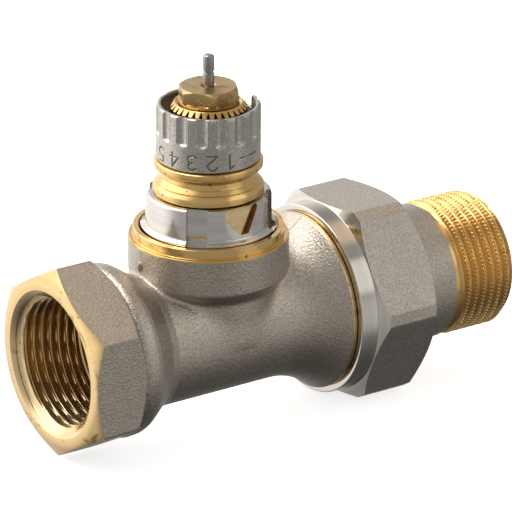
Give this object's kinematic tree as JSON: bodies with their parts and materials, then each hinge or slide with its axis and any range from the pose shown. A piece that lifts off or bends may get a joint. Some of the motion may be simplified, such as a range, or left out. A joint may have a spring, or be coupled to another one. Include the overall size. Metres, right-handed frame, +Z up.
{
  "type": "thermostatic radiator valve",
  "caption": "Straight thermostatic radiator valve body with a presetting ring, sprung pressure pin, clip collar for a sensor head, internal inlet thread and union tail.",
  "frame": {"origin": "centre of the inlet face, on the pipe axis", "axes": "+X along the pipe axis from the inlet to the tail, +Z up the spindle, -Y the side of the collar's reference notch, which only the visual mesh has"},
  "size_m": [0.0971, 0.0414, 0.0727],
  "materials": {
    "plated_body": "shot-blasted forging, nickel plated, with machined brass at the inlet face, threads and neck rim",
    "plated_nut": "shot-blasted nickel plate on the flats, polished on the turned collar and chamfers",
    "polished_nickel": "turned and nickel plated, with a bare brass reference notch",
    "satin_nickel": "satin nickel plate with engraved numerals",
    "machined_brass": "bright turned brass",
    "aged_brass": "turned brass with brown tarnish",
    "tail_metal": "nickel-plated plain length with a machined brass thread",
    "stainless_steel": "ground and drawn steel",
    "black_rubber": "matt moulded rubber",
    "dark_plastic": "moulded glass-filled plastic",
    "white_plastic": "smooth plastic"
  },
  "bodies": {
    "valve": {"valve_body": "plated_body", "sensor_collar": "polished_nickel", "bonnet": "machined_brass", "bonnet_o_ring": "black_rubber"},
    "setter": {"setting_sleeve": "machined_brass", "sleeve_o_rings": "black_rubber", "throttle_cylinder": "dark_plastic", "gland": "aged_brass", "gland_o_ring": "black_rubber", "pin_seal": "black_rubber", "pin_backing_ring": "white_plastic"},
    "ring": {"setting_ring": "satin_nickel"},
    "stem": {"pressure_pin": "stainless_steel", "spindle": "stainless_steel", "spring_cup": "machined_brass", "return_spring": "stainless_steel", "cone_plate": "machined_brass", "cone_seal": "black_rubber", "cone_nut": "machined_brass"},
    "tail": {"tailpiece": "tail_metal", "tail_o_ring": "black_rubber"},
    "nut": {"union_nut": "plated_nut"}
  },
  "joints": [
    {"name": "setting_turn", "type": "hinge", "parent": "valve", "child": "setter", "pos_m": [0.035, 0, 0.034], "axis": [0, 0, 1], "range_deg": [-14, 166]},
    {"name": "ring_lift", "type": "slide", "parent": "setter", "child": "ring", "axis": [0, 0, 1], "range_m": [0, 0.0025]},
    {"name": "pin_press", "type": "slide", "parent": "setter", "child": "stem", "axis": [0, 0, -1], "range_m": [0, 0.0022], "stiffness_N_per_m": 8000, "deforming": ["return_spring"]},
    {"name": "tail_draw", "type": "slide", "parent": "valve", "child": "tail", "axis": [1, 0, 0], "range_m": [0, 0.01154]},
    {"name": "nut_turn", "type": "hinge", "parent": "tail", "child": "nut", "pos_m": [0.066, 0, 0], "axis": [1, 0, 0], "range_deg": [0, 1800]}
  ],
  "couplings": [
    {"joint": "nut_turn", "follows": "tail_draw", "rad_per_m": 2721.2}
  ]
}
